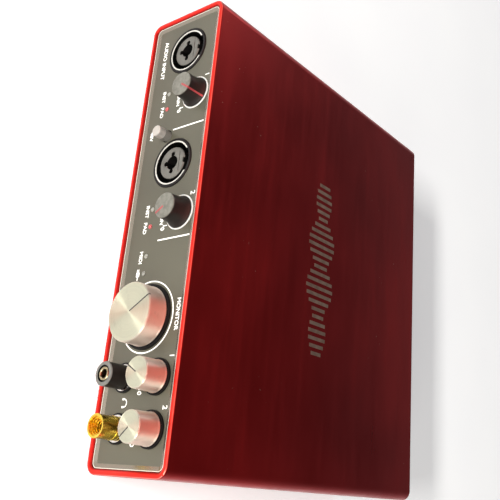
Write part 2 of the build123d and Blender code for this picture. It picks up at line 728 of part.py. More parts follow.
GOLD_MOUTH = 0.3        # the liner's edge is sunk this far inside the rim
GOLD_STEPS = 4
GOLD_STEP_DEPTH = 0.85
GOLD_FLOOR = 0.5
with BuildPart() as gold_adapter_liner:
    place = PHONES_JACKS[1]
    liner_top = ADAPTER_TOP - GOLD_MOUTH
    with BuildSketch(front_plane(place, liner_top)):
        Circle(GOLD_FUNNEL_R)
    extrude(amount=-(liner_top - ADAPTER_BOTTOM - PLUG_SHANK))
    # the mouth narrows to the small bore in shallow steps, like the turns of a thread
    for step in range(GOLD_STEPS):
        outer = GOLD_FUNNEL_R - 0.25 - step * (GOLD_FUNNEL_R - SMALL_BORE_R - 0.3) / GOLD_STEPS
        with BuildSketch(front_plane(place, liner_top - step * GOLD_STEP_DEPTH)):
            Circle(outer)
        extrude(amount=-GOLD_STEP_DEPTH, taper=12, mode=Mode.SUBTRACT)
    with BuildSketch(front_plane(place, liner_top)):
        Circle(SMALL_BORE_R)
    extrude(amount=-(liner_top - ADAPTER_BOTTOM - PLUG_SHANK - GOLD_FLOOR), mode=Mode.SUBTRACT)
finish(gold_adapter_liner, "gold_adapter_liner")

# ---------------------------------------------------------------- rear panel
LINE_BUSHING_R = 4.8
LINE_NUT_R = 6.4
LINE_BUSHING_TOP = 3.0
LINE_NUT_TOP = 2.2
LINE_JACK_DEPTH = 28.0
COAX_SLEEVE_R = 4.15
COAX_SEAT_R = 5.2
MIDI_R = 7.6
USB_OPENING = (8.6, 7.9)
USB_SHELL = (12.0, 11.0)
DC_R = 4.0
SWITCH_FRAME = (13.0, 19.0)
SWITCH_BODY = (11.4, 17.0)
LOCK_SIZE = (7.0, 3.0)
REAR_SCREW_HEAD_R = 2.5
REAR_SCREW_HEAD = 1.4
REAR_SCREW_LENGTH = 10.0
SCREW_CROSS = (2.6, 0.7, 0.8)       # length, width and depth of the driver's cross

with BuildPart() as rear_panel:
    with BuildSketch(rear_plane(CASE_MIDDLE, -REAR_THICK)):
        RectangleRounded(PANEL_WIDTH, PANEL_HEIGHT, CASE_CORNER - CASE_WALL)
    extrude(amount=REAR_THICK)
    with BuildSketch(rear_plane((0, 0))):
        for places, radius in (
            (LINE_JACKS, LINE_BUSHING_R),
            (COAX_SOCKETS, COAX_SEAT_R),
            (MIDI_SOCKETS, MIDI_R),
            ([DC_INLET], DC_R),
            (BOSSES, SCREW_R),
        ):
            with Locations(*[(-across, up) for across, up in places]):
                Circle(radius)
        with Locations((-USB_SOCKET[0], USB_SOCKET[1])):
            Rectangle(*USB_SHELL)
        with Locations((-POWER_SWITCH[0], POWER_SWITCH[1])):
            Rectangle(*SWITCH_BODY)
        with Locations((-LOCK_SLOT[0], LOCK_SLOT[1])):
            SlotOverall(*LOCK_SIZE)
    extrude(amount=-REAR_THICK, mode=Mode.SUBTRACT)
finish(rear_panel, "rear_panel")

with BuildPart() as rear_panel_screws:
    with BuildSketch(rear_plane((0, 0))):
        with Locations(*[(-across, up) for across, up in BOSSES]):
            Circle(REAR_SCREW_HEAD_R)
    extrude(amount=REAR_SCREW_HEAD)
    fillet(rear_panel_screws.faces().group_by(Axis.Y)[-1].edges(), 0.6)
    with BuildSketch(rear_plane((0, 0))):
        with Locations(*[(-across, up) for across, up in BOSSES]):
            Circle(SCREW_R)
    extrude(amount=-REAR_SCREW_LENGTH)
    with BuildSketch(rear_plane((0, 0), REAR_SCREW_HEAD)):
        with Locations(*[(-across, up) for across, up in BOSSES]):
            Rectangle(SCREW_CROSS[0], SCREW_CROSS[1])
            Rectangle(SCREW_CROSS[1], SCREW_CROSS[0])
    extrude(amount=-SCREW_CROSS[2], mode=Mode.SUBTRACT)
finish(rear_panel_screws, "rear_panel_screws")

BODY_BEHIND = REAR_THICK + 0.2      # front of the connector bodies, inside the rear panel
with BuildPart() as line_jacks:
    body_height = LINE_JACKS[0][1] + JACK_RISE - BOARD_TOP
    with BuildSketch(rear_plane((0, 0), -BODY_BEHIND)):
        with Locations(*[(-across, BOARD_TOP + body_height / 2) for across, _ in LINE_JACKS]):
            Rectangle(JACK_WIDTH, body_height)
    extrude(amount=-LINE_JACK_DEPTH)
    with BuildSketch(rear_plane((0, 0), -BODY_BEHIND)):
        with Locations(*[(-across, up) for across, up in LINE_JACKS]):
            Circle(LINE_BUSHING_R)
    extrude(amount=BODY_BEHIND + LINE_BUSHING_TOP)
    with BuildSketch(rear_plane((0, 0), LINE_BUSHING_TOP)):
        with Locations(*[(-across, up) for across, up in LINE_JACKS]):
            Circle(JACK_BORE_R)
    bore_depth = LINE_BUSHING_TOP + BODY_BEHIND + LINE_JACK_DEPTH - JACK_FLOOR
    extrude(amount=-bore_depth, mode=Mode.SUBTRACT)
finish(line_jacks, "line_jacks")

with BuildPart() as line_jack_nuts:
    with BuildSketch(rear_plane((0, 0))):
        with Locations(*[(-across, up) for across, up in LINE_JACKS]):
            RegularPolygon(LINE_NUT_R, 6)
            Circle(LINE_BUSHING_R, mode=Mode.SUBTRACT)
    extrude(amount=LINE_NUT_TOP)
finish(line_jack_nuts, "line_jack_nuts")

COAX_BLOCK_DEPTH = 10.0
COAX_BLOCK_WIDTH = 11.0
COAX_PIN_HOLE_R = 1.7
with BuildPart() as coax_sockets:
    block_top = COAX_SOCKETS[1][1] + 6
    with BuildSketch(
        rear_plane((COAX_SOCKETS[0][0], (BOARD_TOP + block_top) / 2), -BODY_BEHIND)
    ):
        Rectangle(COAX_BLOCK_WIDTH, block_top - BOARD_TOP)
    extrude(amount=-COAX_BLOCK_DEPTH)
    with BuildSketch(rear_plane((0, 0), -BODY_BEHIND)):
        with Locations(*[(-across, up) for across, up in COAX_SOCKETS]):
            Circle(COAX_SEAT_R)
    extrude(amount=BODY_BEHIND + 0.8)
    with BuildSketch(rear_plane((0, 0))):
        with Locations(*[(-across, up) for across, up in COAX_SOCKETS]):
            Circle(COAX_SLEEVE_R)
    extrude(amount=REAR_REACH)
    chamfer(coax_sockets.faces().group_by(Axis.Y)[-1].edges(), 0.3)
    with BuildSketch(rear_plane((0, 0), REAR_REACH)):
        with Locations(*[(-across, up) for across, up in COAX_SOCKETS]):
            Circle(COAX_PIN_HOLE_R)
    extrude(amount=-(REAR_REACH + 8), mode=Mode.SUBTRACT)
finish(coax_sockets, "coax_sockets")

MIDI_PROUD = 0.6
MIDI_WIDTH = 19.0
MIDI_DEPTH = 12.0
MIDI_RECESS_R = 7.0
MIDI_CORE_R = 6.0       # a plug's barrel enters between core and recess
MIDI_PIN_CIRCLE = 3.75
MIDI_PIN_R = 0.8
MIDI_PIN_TURNS = [0, 45, 90, 135, 180]
MIDI_BORE = 9.0
with BuildPart() as midi_sockets:
    with BuildSketch(rear_plane((0, 0), -BODY_BEHIND)):
        with Locations(*[(-across, BOARD_TOP + MIDI_WIDTH / 2) for across, _ in MIDI_SOCKETS]):
            Rectangle(MIDI_WIDTH, MIDI_WIDTH)
    extrude(amount=-MIDI_DEPTH)
    with BuildSketch(rear_plane((0, 0), -BODY_BEHIND)):
        with Locations(*[(-across, up) for across, up in MIDI_SOCKETS]):
            Circle(MIDI_R)
    extrude(amount=BODY_BEHIND + MIDI_PROUD)
    with BuildSketch(rear_plane((0, 0), MIDI_PROUD)):
        with Locations(*[(-across, up) for across, up in MIDI_SOCKETS]):
            Circle(MIDI_RECESS_R)
    extrude(amount=-MIDI_BORE, mode=Mode.SUBTRACT)
finish(midi_sockets, "midi_sockets")

with BuildPart() as midi_cores:
    with BuildSketch(rear_plane((0, 0), MIDI_PROUD)):
        with Locations(*[(-across, up) for across, up in MIDI_SOCKETS]):
            Circle(MIDI_CORE_R)
            for turn in MIDI_PIN_TURNS:
                angle = math.radians(turn)
                with Locations(
                    (MIDI_PIN_CIRCLE * math.cos(angle), MIDI_PIN_CIRCLE * math.sin(angle))
                ):
                    Circle(MIDI_PIN_R, mode=Mode.SUBTRACT)
    extrude(amount=-MIDI_BORE)
finish(midi_cores, "midi_cores")

USB_DEPTH = 16.0
USB_PROUD = 0.4
USB_CUT = 1.6           # the opening's sloping upper corners
USB_BORE = 9.0
USB_TONGUE = (5.6, 3.2)
USB_TONGUE_LENGTH = 7.6
with BuildPart() as usb_socket:
    with BuildSketch(rear_plane(USB_SOCKET, -USB_DEPTH)):
        Rectangle(*USB_SHELL)
    extrude(amount=USB_DEPTH + USB_PROUD)
    with BuildSketch(rear_plane(USB_SOCKET, USB_PROUD)):
        with BuildLine():
            half_w, half_h = USB_OPENING[0] / 2, USB_OPENING[1] / 2
            Polyline(
                (-half_w, -half_h), (half_w, -half_h),
                (half_w, half_h - USB_CUT), (half_w - USB_CUT, half_h),
                (USB_CUT - half_w, half_h), (-half_w, half_h - USB_CUT),
                close=True,
            )
        make_face()
    extrude(amount=-(USB_PROUD + USB_BORE), mode=Mode.SUBTRACT)
    with BuildSketch(rear_plane(USB_SOCKET, -USB_BORE)):
        Rectangle(*USB_TONGUE)
    extrude(amount=USB_TONGUE_LENGTH)
finish(usb_socket, "usb_socket")

DC_SIZE = (9.0, 11.6)
DC_DEPTH = 13.0
DC_HOLE_R = 3.1
DC_PIN_R = 1.05
DC_PROUD = 0.3
DC_BORE = 10.0
with BuildPart() as dc_inlet:
    with BuildSketch(rear_plane((DC_INLET[0], BOARD_TOP + DC_SIZE[1] / 2), -BODY_BEHIND)):
        Rectangle(*DC_SIZE)
    extrude(amount=-DC_DEPTH)
    with BuildSketch(rear_plane(DC_INLET, -BODY_BEHIND)):
        Circle(DC_R)
    extrude(amount=BODY_BEHIND + DC_PROUD)
    with BuildSketch(rear_plane(DC_INLET, DC_PROUD)):
        Circle(DC_HOLE_R)
        Circle(DC_PIN_R, mode=Mode.SUBTRACT)
    extrude(amount=-DC_BORE, mode=Mode.SUBTRACT)
finish(dc_inlet, "dc_inlet")

# ---------------------------------------------------------------- power switch
SWITCH_DEPTH = 14.0
SWITCH_PROUD = 1.2
SWITCH_BEVEL = 0.4
ROCKER_HOLE_DEPTH = 9.5
ROCKER_WIDTH = 8.6
ROCKER_HALF = 6.2
ROCKER_TILT = 8.0
ROCKER_GAP = 0.5
ROCKER_SWEEP_R = 7.0
PIVOT_R = 0.9
PIVOT_LENGTH = 1.0
PIVOT_BEHIND = 1.2      # pivot axis inside the rear panel's outer face
ROCKER_HOLE = (ROCKER_WIDTH + 2 * ROCKER_GAP, 2 * ROCKER_SWEEP_R + 0.8)

with BuildPart() as power_switch_frame:
    with BuildSketch(rear_plane(POWER_SWITCH)):
        RectangleRounded(*SWITCH_FRAME, 1.0)
    extrude(amount=SWITCH_PROUD)
    chamfer(power_switch_frame.faces().sort_by(Axis.Y)[-1].edges(), SWITCH_BEVEL)
    with BuildSketch(rear_plane(POWER_SWITCH)):
        Rectangle(*SWITCH_BODY)
    extrude(amount=-SWITCH_DEPTH)
    with BuildSketch(rear_plane(POWER_SWITCH, SWITCH_PROUD)):
        Rectangle(*ROCKER_HOLE)
    extrude(amount=-(SWITCH_PROUD + ROCKER_HOLE_DEPTH), mode=Mode.SUBTRACT)
    with BuildSketch(side_section(POWER_SWITCH[0])):
        with Locations((BACK_Y - PIVOT_BEHIND, part_z(POWER_SWITCH[1]))):
            Circle(PIVOT_R + RUNNING)
    pivot_hole = ROCKER_WIDTH / 2 + PIVOT_LENGTH + 0.1
    extrude(amount=pivot_hole, both=True, mode=Mode.SUBTRACT)
finish(power_switch_frame, "power_switch_frame")

with BuildPart() as power_rocker:
    tilt = math.radians(ROCKER_TILT)
    rocker_section = Plane(
        origin=(part_x(POWER_SWITCH[0]), BACK_Y - PIVOT_BEHIND, part_z(POWER_SWITCH[1])),
        x_dir=(0, math.cos(tilt), math.sin(tilt)),
        z_dir=(1, 0, 0),
    )
    with BuildSketch(rocker_section):
        with BuildLine():
            Polyline(
                (3.2, -ROCKER_HALF),
                (2.1, 0),
                (3.2, ROCKER_HALF),
                (-2.0, ROCKER_HALF),
                (-4.5, 1.5),
                (-4.5, -1.5),
                (-2.0, -ROCKER_HALF),
                close=True,
            )
        make_face()
    extrude(amount=ROCKER_WIDTH / 2, both=True)
    fillet(power_rocker.edges().filter_by(Axis.X).group_by(Axis.Y)[-1], 0.4)
    with BuildSketch(rocker_section):
        Circle(PIVOT_R)
    extrude(amount=ROCKER_WIDTH / 2 + PIVOT_LENGTH, both=True)
finish(power_rocker, "power_rocker")

# ---------------------------------------------------------------- circuit boards
BOARD_SIDE = 8.2        # edge of the main board from the case's outer side
BOARD_BACK = 4.0        # edge of the main board from the case's back edge
FRONT_BOARD_LEFT = 33.6
FRONT_BOARD_RIGHT = 201.0
FRONT_BOARD_UNDER = 9.5
FRONT_BOARD_OVER = 41.0

with BuildPart() as main_board:
    with BuildSketch(Plane.XY.offset(part_z(BOARD_UNDER))):
        with BuildLine():
            left, right = part_x(BOARD_SIDE), part_x(CASE_WIDTH - BOARD_SIDE)
            front, back = RIM_Y + RAIL_FRONT + 0.5, BACK_Y - BOARD_BACK
            Polyline((left, front), (right, front), (right, back), (left, back), close=True)
        make_face()
    extrude(amount=BOARD_THICK)
finish(main_board, "main_board")

with BuildPart() as front_board:
    middle = ((FRONT_BOARD_LEFT + FRONT_BOARD_RIGHT) / 2, (FRONT_BOARD_UNDER + FRONT_BOARD_OVER) / 2)
    with BuildSketch(front_plane(middle, -FRONT_BOARD_BEHIND)):
        Rectangle(FRONT_BOARD_RIGHT - FRONT_BOARD_LEFT, FRONT_BOARD_OVER - FRONT_BOARD_UNDER)
    extrude(amount=-BOARD_THICK)
    with BuildSketch(front_plane((0, 0), -FRONT_BOARD_BEHIND)):
        with Locations(INPUTS[1]):
            Circle(SHELL_R + 0.5)
        with Locations(*PHONES_JACKS):
            Rectangle(JACK_WIDTH + 1, 2 * JACK_RISE + 1)
    extrude(amount=-BOARD_THICK, mode=Mode.SUBTRACT)
finish(front_board, "front_board")

RIBBON_WIDTH = 25.0
RIBBON_THICK = 1.0
RIBBON_TURN = 6.0
RIBBON_UP = 22.0
RIBBON_OUT = 5.0
with BuildPart() as ribbon_cable:
    start_y = PANEL_Y + FRONT_BOARD_BEHIND + BOARD_THICK
    bend_y = start_y + RIBBON_OUT
    with BuildSketch(side_section(132.0)):
        with BuildLine() as centre_line:
            Line((start_y, part_z(RIBBON_UP)), (bend_y, part_z(RIBBON_UP)))
            RadiusArc(
                (bend_y, part_z(RIBBON_UP)),
                (bend_y + RIBBON_TURN, part_z(RIBBON_UP - RIBBON_TURN)),
                RIBBON_TURN,
            )
            Line(
                (bend_y + RIBBON_TURN, part_z(RIBBON_UP - RIBBON_TURN)),
                (bend_y + RIBBON_TURN, part_z(BOARD_TOP) + RIBBON_THICK / 2),
            )
        trace(centre_line.line, RIBBON_THICK)
    extrude(amount=RIBBON_WIDTH / 2, both=True)
    # keep the square ends flush with the boards that the cable is soldered to
    split(bisect_by=Plane((0, start_y, 0), z_dir=(0, 1, 0)), keep=Keep.TOP)
    split(bisect_by=Plane.XY.offset(part_z(BOARD_TOP)), keep=Keep.TOP)
finish(ribbon_cable, "ribbon_cable")

CAPACITORS = [(x, y) for x in (-62.0, -50.0, -38.0) for y in (-20.0, -6.0, 8.0)]
CAPACITOR = (4.0, 11.5)             # radius and height
TALL_CAPACITORS = [(-84.0, 20.0), (-84.0, 36.0)]
TALL_CAPACITOR = (6.25, 20.0)
CHIP_HEIGHT = 1.4
with BuildPart() as capacitors:
    with BuildSketch(Plane.XY.offset(part_z(BOARD_TOP))):
        with Locations(*CAPACITORS):
            Circle(CAPACITOR[0])
    extrude(amount=CAPACITOR[1])
    with BuildSketch(Plane.XY.offset(part_z(BOARD_TOP))):
        with Locations(*TALL_CAPACITORS):
            Circle(TALL_CAPACITOR[0])
    extrude(amount=TALL_CAPACITOR[1])
    fillet(capacitors.faces().filter_by(GeomType.PLANE).group_by(Axis.Z)[-1].edges(), 0.5)
finish(capacitors, "capacitors")

CHIPS = [((20.0, 0.0), 20.0), ((-10.0, 25.0), 12.0), ((48.0, -22.0), 10.0), ((70.0, 12.0), 9.0)]
with BuildPart() as chips:
    for centre, size in CHIPS:
        with BuildSketch(Plane.XY.offset(part_z(BOARD_TOP))):
            with Locations(centre):
                Rectangle(size, size)
        extrude(amount=CHIP_HEIGHT)
finish(chips, "chips")
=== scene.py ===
"""Looks of the desktop audio interface: materials, printed legends, stage, lights and camera.

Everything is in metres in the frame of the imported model.  Places on the panels are given in
millimetres as (across, up): from the case's left end seen from the front, and above the
underside of the case.
"""
import math

import bmesh
import bpy
from mathutils import Euler, Matrix, Vector


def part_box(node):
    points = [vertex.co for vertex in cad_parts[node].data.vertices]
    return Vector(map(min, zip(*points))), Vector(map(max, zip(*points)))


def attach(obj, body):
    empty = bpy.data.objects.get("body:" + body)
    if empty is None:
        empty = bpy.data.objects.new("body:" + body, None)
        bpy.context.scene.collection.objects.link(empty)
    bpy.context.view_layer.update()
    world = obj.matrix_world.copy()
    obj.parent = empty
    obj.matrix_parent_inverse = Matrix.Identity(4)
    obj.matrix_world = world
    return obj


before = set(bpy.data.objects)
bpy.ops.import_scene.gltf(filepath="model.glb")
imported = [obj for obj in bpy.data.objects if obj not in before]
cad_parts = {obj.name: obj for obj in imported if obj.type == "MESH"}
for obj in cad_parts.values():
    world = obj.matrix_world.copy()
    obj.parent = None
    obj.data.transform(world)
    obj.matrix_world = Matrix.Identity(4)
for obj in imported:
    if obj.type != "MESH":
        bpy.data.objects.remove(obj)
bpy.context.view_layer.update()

MM = 0.001
FORWARD = (0.0, -1.0, 0.0)
CASE_LOW, CASE_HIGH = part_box("case_sleeve")
CASE_MIDDLE = (CASE_LOW + CASE_HIGH) / 2
WALL_STEP = 1.4 * MM            # this far in, a point belongs to the case's inner walls
PANEL_RISE = 0.7 * MM           # height of the panel's border above its flat face
PANEL_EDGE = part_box("front_panel")[0].y
PANEL_FACE = PANEL_EDGE + PANEL_RISE
REAR_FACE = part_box("rear_panel")[1].y
PLUG_ROOT = PANEL_FACE - 1.9 * MM       # both adapters' barrels end and their plugs begin here
PLUG_BANDS = ((15.5, 17.0), (20.5, 22.0))       # insulating bands, millimetres from that root
INSERT_RIM = 5.9 * MM           # radius of the flat face of an input socket's insert
INSERT_FACE = 0.06 * MM         # the grey is this deep on that face
INSERT_BEVEL = 0.5 * MM         # and this deep on the bevel around it
MOUTH_RADIUS = 3.40 * MM        # recess around the black adapter's liner, which is painted black: painted shade
# black painted into the depths of the input sockets: painted shade
SOCKET_SHADE = (0.004, 0.004, 0.004)


# ---------------------------------------------------------------- node helpers
class Finish:
    """One procedural material: a Principled shader with small helpers to feed its sockets."""

    def __init__(self, name, **sockets):
        self.material = bpy.data.materials.new(name)
        self.material.use_nodes = True
        self.tree = self.material.node_tree
        self.tree.nodes.clear()
        output = self.tree.nodes.new("ShaderNodeOutputMaterial")
        self.shader = self.tree.nodes.new("ShaderNodeBsdfPrincipled")
        self.tree.links.new(self.shader.outputs["BSDF"], output.inputs["Surface"])
        for socket, value in sockets.items():
            self.shader.inputs[socket.replace("_", " ")].default_value = value
        self.place = self.node("ShaderNodeTexCoord").outputs["Object"]

    def node(self, kind, **inputs):
        made = self.tree.nodes.new(kind)
        for socket, value in inputs.items():
            self.feed(made.inputs[socket.replace("_", " ")], value)
        return made

    def feed(self, socket, value):
        if isinstance(value, bpy.types.NodeSocket):
            self.tree.links.new(value, socket)
        else:
            socket.default_value = value

    def set(self, **sockets):
        for socket, value in sockets.items():
            self.feed(self.shader.inputs[socket.replace("_", " ")], value)

    def math(self, operation, first, second=0.0):
        made = self.tree.nodes.new("ShaderNodeMath")
        made.operation = operation
        self.feed(made.inputs[0], first)
        self.feed(made.inputs[1], second)
        return made.outputs[0]

    def vector_math(self, operation, first, second=(0.0, 0.0, 0.0)):
        made = self.tree.nodes.new("ShaderNodeVectorMath")
        made.operation = operation
        self.feed(made.inputs[0], first)
        self.feed(made.inputs[1], second)
        return made.outputs["Value" if operation in ("LENGTH", "DOT_PRODUCT") else "Vector"]

    def noise(self, per_metre, detail=3.0, stretch=(1, 1, 1), roughness=0.5):
        return self.node(
            "ShaderNodeTexNoise", Vector=self.vector_math("MULTIPLY", self.place, stretch),
            Scale=per_metre, Detail=detail, Roughness=roughness,
        ).outputs["Fac"]

    def span(self, value, low, high, to_low, to_high):
        """Maps a value from between low and high to between to_low and to_high."""
        made = self.tree.nodes.new("ShaderNodeMapRange")
        made.clamp = True
        for socket, number in zip(made.inputs, (value, low, high, to_low, to_high)):
            self.feed(socket, number)
        return made.outputs["Result"]

    def mix(self, share, first, second):
        """Blend of two colours, from the first at share 0 to the second at 1."""
        made = self.tree.nodes.new("ShaderNodeMix")
        made.data_type = "RGBA"
        self.feed(made.inputs["Factor"], share)
        colours = [s for s in made.inputs if s.type == "RGBA"]
        for socket, colour in zip(colours, (first, second)):
            self.feed(socket, (*colour, 1.0) if isinstance(colour, tuple) else colour)
        return [s for s in made.outputs if s.type == "RGBA"][0]

    def mix_value(self, share, first, second):
        """The same blend of two numbers."""
        made = self.tree.nodes.new("ShaderNodeMix")
        made.data_type = "FLOAT"
        self.feed(made.inputs["Factor"], share)
        values = [s for s in made.inputs if s.type == "VALUE" and s.name in "AB"]
        for socket, value in zip(values, (first, second)):
            self.feed(socket, value)
        return [s for s in made.outputs if s.type == "VALUE"][0]

    def axis(self, letter):
        return self.node("ShaderNodeSeparateXYZ", Vector=self.place).outputs[letter]

    def radius_from(self, centre):
        """Distance from a fore-and-aft axis through centre."""
        offset = self.vector_math("SUBTRACT", self.place, (centre.x, 0.0, centre.z))
        flat = self.vector_math("MULTIPLY", offset, (1.0, 0.0, 1.0))
        return self.vector_math("LENGTH", flat)

    def facing(self, direction, low, high):
        """Share from 0 to 1 as the surface turns towards a direction."""
        surface = self.node("ShaderNodeNewGeometry").outputs["True Normal"]
        turned = self.vector_math("DOT_PRODUCT", surface, direction)
        return self.span(turned, low, high, 0.0, 1.0)

    def case_side(self):
        """1 on the case's outer walls, 0 on its inner ones."""
        half = (CASE_HIGH - CASE_LOW) / 2
        across = self.math("ABSOLUTE", self.axis("X"))
        up = self.math("ABSOLUTE", self.math("SUBTRACT", self.axis("Z"), CASE_MIDDLE.z))
        reach = self.math(
            "MAXIMUM",
            self.math("SUBTRACT", across, half.x),
            self.math("SUBTRACT", up, half.z),
        )
        return self.span(reach, -WALL_STEP - 0.1 * MM, -WALL_STEP, 0.0, 1.0)

    def feeder(self, socket="Base Color"):
        """The output that feeds one of the shader's sockets now."""
        return self.shader.inputs[socket].links[0].from_socket

    def bump(self, height, strength, depth, edge):
        """Fine relief, on edges that look rounded to the radius edge."""
        made = self.node("ShaderNodeBump", Height=height, Strength=strength, Distance=depth)
        rounded = self.node("ShaderNodeBevel", Radius=edge)
        self.feed(made.inputs["Normal"], rounded.outputs["Normal"])
        self.set(Normal=made.outputs["Normal"])

    def worn_edges(self, radius, low=0.02, high=0.25):
        """Share from 0 on flat faces to 1 on sharp edges."""
        rounded = self.node("ShaderNodeBevel", Radius=radius).outputs["Normal"]
        sharp = self.node("ShaderNodeNewGeometry").outputs["Normal"]
        bend = self.math("SUBTRACT", 1.0, self.vector_math("DOT_PRODUCT", rounded, sharp))
        return self.span(bend, low, high, 0.0, 1.0)


def moulded(
    name, dark, light, rough, grain=2500.0, relief=0.10, patch=90.0, edge=0.12, **sockets,
):
    """Moulded or painted surface: mottled colour, uneven gloss, fine grain, softened edges."""
    made = Finish(name, **sockets)
    mottle = made.span(made.noise(patch, 4.0), 0.3, 0.7, 0.0, 1.0)
    colour = made.mix(mottle, dark, light)
    wear = made.math("MULTIPLY", made.worn_edges(edge * MM * 1.5), 0.35)
    pale = tuple(min(1.0, channel * 1.7 + 0.02) for channel in light)
    made.set(
        Base_Color=made.mix(wear, colour, pale),
        Roughness=made.span(made.noise(patch * 3.0, 5.0), 0.3, 0.7, *rough),
    )
    made.bump(made.noise(grain, 2.0), relief, 0.05 * MM, edge * MM)
    return made


# ---------------------------------------------------------------- materials
def red_case():
    """Anodised red: cloudy, streaked across the case and dusty; its front face and edges carry
    painted highlights, partly over real edge wear, and its inner chamfer carries painted shade.

    Places near the front are distances behind the case's front edge.
    """
    made = Finish("red_case", Metallic=0.9)
    deep, warm = (0.235, 0.0055, 0.0065), (0.390, 0.0130, 0.0130)
    cloud = made.span(made.noise(9.0, 3.0), 0.32, 0.68, 0.0, 1.0)
    smudge = made.noise(34.0, 6.0, stretch=(0.5, 1.0, 1.0), roughness=0.62)
    streak = made.noise(20.0, 4.0, stretch=(1.0, 14.0, 14.0))
    colour = made.mix(cloud, deep, warm)
    # tiny chips and dust, thicker in a few patches
    chip_region = made.span(made.noise(26.0, 2.0), 0.54, 0.66, 0.0, 1.0)
    chips = made.span(made.noise(620.0, 2.0), 0.735, 0.760, 0.0, 1.0)
    chips = made.math("MULTIPLY", chips, chip_region)
    colour = made.mix(chips, colour, (0.70, 0.42, 0.34))
    # the inner chamfer is painted a deeper red than the front face: painted shade
    front = CASE_LOW.y
    near_front = made.span(made.axis("Y"), front + 0.95 * MM, front + 2.4 * MM, 1.0, 0.0)
    inward = made.math("SUBTRACT", 1.0, made.case_side())
    colour = made.mix(made.math("MULTIPLY", near_front, inward), colour, (0.52, 0.017, 0.013))
    # the front face is painted a brighter red than the lid: a painted highlight
    front_face_highlight = made.span(made.axis("Y"), front + 0.10 * MM, front + 0.34 * MM, 1.0, 0.0)
    shade = made.span(made.noise(60.0, 3.0), 0.3, 0.7, 0.0, 1.0)
    bright = made.mix(shade, (0.80, 0.026, 0.018), (0.96, 0.040, 0.028))
    colour = made.mix(front_face_highlight, colour, bright)
    # a painted highlight: a pale line along the middle of the rounded outer edge
    rising = made.span(made.axis("Y"), front + 0.08 * MM, front + 0.20 * MM, 0.0, 1.0)
    falling = made.span(made.axis("Y"), front + 0.34 * MM, front + 0.52 * MM, 1.0, 0.0)
    edge_highlight = made.math("MULTIPLY", made.math("MULTIPLY", rising, falling), made.case_side())
    highlight_share = made.span(made.noise(90.0, 4.0), 0.3, 0.7, 0.45, 0.85)
    colour = made.mix(made.math("MULTIPLY", edge_highlight, highlight_share), colour, (0.96, 0.27, 0.22))
    # sharp edges are lightened pink: partly real edge wear, partly a painted highlight
    edge_wear_and_highlight = made.worn_edges(0.3 * MM, 0.03, 0.4)
    edge_breaks = made.span(made.noise(240.0, 4.0), 0.35, 0.75, 0.10, 0.55)
    colour = made.mix(made.math("MULTIPLY", edge_wear_and_highlight, edge_breaks), colour, (0.95, 0.22, 0.18))
    rough = made.span(smudge, 0.30, 0.72, 0.27, 0.42)
    rough = made.math("ADD", rough, made.span(streak, 0.45, 0.7, 0.0, 0.06))
    made.set(Base_Color=colour, Roughness=rough)
    made.bump(made.noise(2600.0, 3.0), 0.14, 0.05 * MM, 0.25 * MM)
    return made


def spun_metal(name, centre):
    """Turned aluminium: fine circular tool marks on the face, softer ones on the side; the side's
    coral tint is a painted reflection and the bright spots on the face's edge are painted
    highlights.
    """
    # the side colour is tinted coral: a painted reflection of the red case
    base, side = (0.68, 0.68, 0.53), (0.78, 0.67, 0.58)
    made = Finish(name, Metallic=1.0, Anisotropic_Rotation=0.25)
    radius = made.radius_from(centre)
    along = made.node("ShaderNodeCombineXYZ", X=radius, Y=made.axis("Y"))
    rings = made.node("ShaderNodeTexNoise", Vector=along.outputs[0], Scale=5200.0, Detail=3.0)
    broad = made.node("ShaderNodeTexNoise", Vector=along.outputs[0], Scale=700.0, Detail=2.0)
    tint = made.span(broad.outputs["Fac"], 0.35, 0.65, 0.0, 1.0)
    colour = made.mix(tint, tuple(channel * 0.93 for channel in base), base)
    face = made.facing(FORWARD, 0.55, 0.85)
    colour = made.mix(face, side, colour)
    grime = made.span(made.noise(420.0, 5.0), 0.58, 0.8, 0.0, 0.35)
    colour = made.mix(grime, colour, tuple(channel * 0.72 for channel in base))
    # the edge of the face has bright spots: painted highlights
    edge_highlight = made.span(made.noise(900.0, 2.0), 0.46, 0.58, 0.0, 1.0)
    edge_highlight = made.math("MULTIPLY", edge_highlight, made.worn_edges(0.35 * MM, 0.02, 0.2))
    rough = made.span(made.noise(900.0, 4.0), 0.3, 0.7, 0.38, 0.46)
    rough = made.mix_value(face, 0.54, rough)
    made.set(
        Base_Color=made.mix(edge_highlight, colour, (1.0, 0.99, 0.90)),
        Roughness=made.mix_value(edge_highlight, rough, 0.30),
        Anisotropic=made.mix_value(face, 0.85, 0.97),
    )
    tangent = made.tree.nodes.new("ShaderNodeTangent")
    tangent.direction_type = "RADIAL"
    tangent.axis = "Y"
    made.set(Tangent=tangent.outputs[0])
    made.bump(rings.outputs["Fac"], 0.12, 0.015 * MM, 0.08 * MM)
    return made


def plated(name, dark, light, rough=(0.14, 0.3)):
    """Plated or bare metal with patches of tarnish."""
    made = Finish(name, Metallic=1.0)
    tarnish = made.span(made.noise(260.0, 5.0), 0.35, 0.7, 0.0, 1.0)
    made.set(
        Base_Color=made.mix(tarnish, light, dark),
        Roughness=made.span(made.noise(700.0, 4.0), 0.3, 0.7, *rough),
    )
    made.bump(made.noise(1500.0, 2.0), 0.06, 0.03 * MM, 0.1 * MM)
    return made


